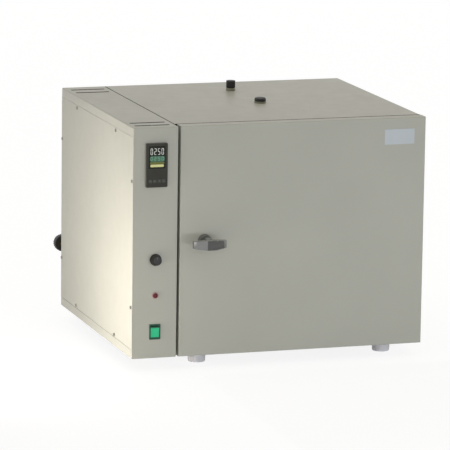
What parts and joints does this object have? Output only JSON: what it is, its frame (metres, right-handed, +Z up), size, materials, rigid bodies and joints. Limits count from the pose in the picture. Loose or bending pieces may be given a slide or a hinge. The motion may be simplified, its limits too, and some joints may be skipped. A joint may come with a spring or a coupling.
{
  "type": "vacuum oven",
  "caption": "Bench-top vacuum drying oven with a side control column, a swinging front door with a turn latch, ports on top and a vacuum valve behind.",
  "frame": {"origin": "on the bench, under the middle of the overall outline in X and Y; Z is 0 at the underside of the feet", "axes": "+X to the right seen from the front, +Y from the door to the back, +Z up"},
  "size_m": [0.6815, 0.7154, 0.5604],
  "materials": {
    "cabinet_paint": "fine satin texture, warm light grey",
    "frame_steel": "bare brushed sheet",
    "vessel_steel": "brushed stainless",
    "plain_steel": "zinc plated",
    "tube_steel": "drawn stainless tube",
    "handle_chrome": "polished",
    "valve_brass": "turned, nickel-free",
    "alu": "extruded",
    "foot_plastic": "moulded, off-white",
    "black_plastic": "moulded, fine grain",
    "bezel_plastic": "moulded, satin",
    "key_plastic": "moulded keys",
    "window_plastic": "smoked window",
    "board": "solder mask",
    "lamp_red": "translucent red",
    "rocker_green": "lit green",
    "badge": "blank plate",
    "silicone": "moulded silicone",
    "heater_mat": "silicone heater mat",
    "wool": "ceramic fibre blanket"
  },
  "bodies": {
    "cabinet": {"top_cover": "cabinet_paint", "base_pan": "cabinet_paint", "left_panel": "cabinet_paint", "right_panel": "cabinet_paint", "rear_cover": "cabinet_paint", "front_frame": "frame_steel", "latch_keeper": "frame_steel", "feet": "foot_plastic", "cabinet_screws": "plain_steel", "chamber_vessel": "vessel_steel", "vessel_supports": "plain_steel", "side_heaters": "heater_mat", "insulation": "wool", "shelf_rails": "vessel_steel", "shelf_lower": "vessel_steel", "shelf_upper": "vessel_steel", "temperature_probe": "tube_steel", "port_neck": "tube_steel", "vent_valve_collar": "tube_steel", "vent_pipe": "tube_steel", "vacuum_line": "tube_steel", "vacuum_valve": "valve_brass", "column_shell": "cabinet_paint", "side_cover": "cabinet_paint", "controller_bezel": "bezel_plastic", "controller_window": "window_plastic", "controller_case": "black_plastic", "controller_board": "board", "limiter_thermostat": "black_plastic", "lamp_bezel": "lamp_red", "lamp_lens": "lamp_red", "switch_frame": "bezel_plastic", "heatsink": "alu", "heater_relay": "black_plastic", "terminal_block": "black_plastic", "mains_inlet": "black_plastic", "hinge_leaves_fixed": "plain_steel", "hinge_pins": "plain_steel"},
    "door": {"door_shell": "cabinet_paint", "door_inner_plate": "vessel_steel", "door_gasket": "silicone", "door_insulation": "wool", "badge_plate": "badge", "handle_bush": "handle_chrome", "hinge_leaves_moving": "plain_steel", "door_screws": "plain_steel"},
    "latch": {"handle_lever": "handle_chrome", "latch_spindle": "plain_steel", "latch_cam": "plain_steel", "cam_nut": "plain_steel"},
    "menu_key": {"key_1": "key_plastic"},
    "shift_key": {"key_2": "key_plastic"},
    "down_key": {"key_3": "key_plastic"},
    "up_key": {"key_4": "key_plastic"},
    "limiter_dial": {"limiter_knob": "black_plastic"},
    "power_rocker": {"switch_rocker": "rocker_green"},
    "access_cap": {"port_cap": "black_plastic"},
    "vent_control": {"vent_knob": "black_plastic"},
    "vacuum_control": {"vacuum_valve_knob": "black_plastic"}
  },
  "joints": [
    {"name": "door_swing", "type": "hinge", "parent": "cabinet", "child": "door", "pos_m": [0.33675, -0.2717, 0.2825], "axis": [0, 0, 1], "range_deg": [0, 160]},
    {"name": "handle_turn", "type": "hinge", "parent": "door", "child": "latch", "pos_m": [-0.17555, -0.3227, 0.2825], "axis": [0, 1, 0], "range_deg": [0, 90]},
    {"name": "menu_key_press", "type": "slide", "parent": "cabinet", "child": "menu_key", "axis": [0, 1, 0], "range_m": [0, 0.0008], "stiffness_N_per_m": 400},
    {"name": "shift_key_press", "type": "slide", "parent": "cabinet", "child": "shift_key", "axis": [0, 1, 0], "range_m": [0, 0.0008], "stiffness_N_per_m": 400},
    {"name": "down_key_press", "type": "slide", "parent": "cabinet", "child": "down_key", "axis": [0, 1, 0], "range_m": [0, 0.0008], "stiffness_N_per_m": 400},
    {"name": "up_key_press", "type": "slide", "parent": "cabinet", "child": "up_key", "axis": [0, 1, 0], "range_m": [0, 0.0008], "stiffness_N_per_m": 400},
    {"name": "limiter_turn", "type": "hinge", "parent": "cabinet", "child": "limiter_dial", "pos_m": [-0.28635, -0.3107, 0.2465], "axis": [0, 1, 0], "range_deg": [0, 270]},
    {"name": "power_tilt", "type": "hinge", "parent": "cabinet", "child": "power_rocker", "pos_m": [-0.28635, -0.2987, 0.0869], "axis": [-1, 0, 0], "range_deg": [0, 14]},
    {"name": "access_cap_lift", "type": "slide", "parent": "cabinet", "child": "access_cap", "axis": [0, 0, 1], "range_m": [0, 0.045]},
    {"name": "vent_turn", "type": "hinge", "parent": "cabinet", "child": "vent_control", "pos_m": [0.02645, 0.1503, 0.548], "axis": [0, 0, 1], "range_deg": [0, 360]},
    {"name": "vacuum_turn", "type": "hinge", "parent": "cabinet", "child": "vacuum_control", "pos_m": [-0.31655, 0.3453, 0.16], "axis": [0, 1, 0], "range_deg": [0, 360]}
  ]
}
